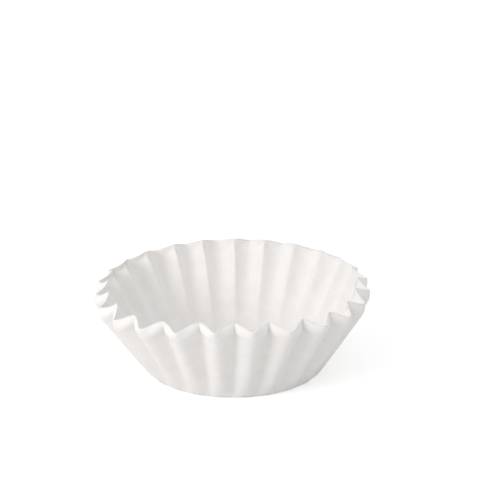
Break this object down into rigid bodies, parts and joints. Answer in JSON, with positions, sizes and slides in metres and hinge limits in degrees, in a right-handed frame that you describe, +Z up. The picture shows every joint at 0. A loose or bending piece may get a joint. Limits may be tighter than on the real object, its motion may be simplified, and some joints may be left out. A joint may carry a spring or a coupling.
{
  "type": "paper coffee filter",
  "caption": "Fluted flat-bottom paper basket filter for drip coffee: a flat round base and a flaring wall pressed into flutes, with a wavy cut rim, open at the top.",
  "frame": {"origin": "centre of the flat base, on the surface that the filter stands on", "axes": "+Z up along the axis of the bowl, an inner fold of the wall faces -Y"},
  "size_m": [0.1498, 0.1498, 0.0494],
  "materials": {
    "paper": "matte"
  },
  "bodies": {
    "root": {"coffee_filter": "paper"}
  },
  "joints": []
}
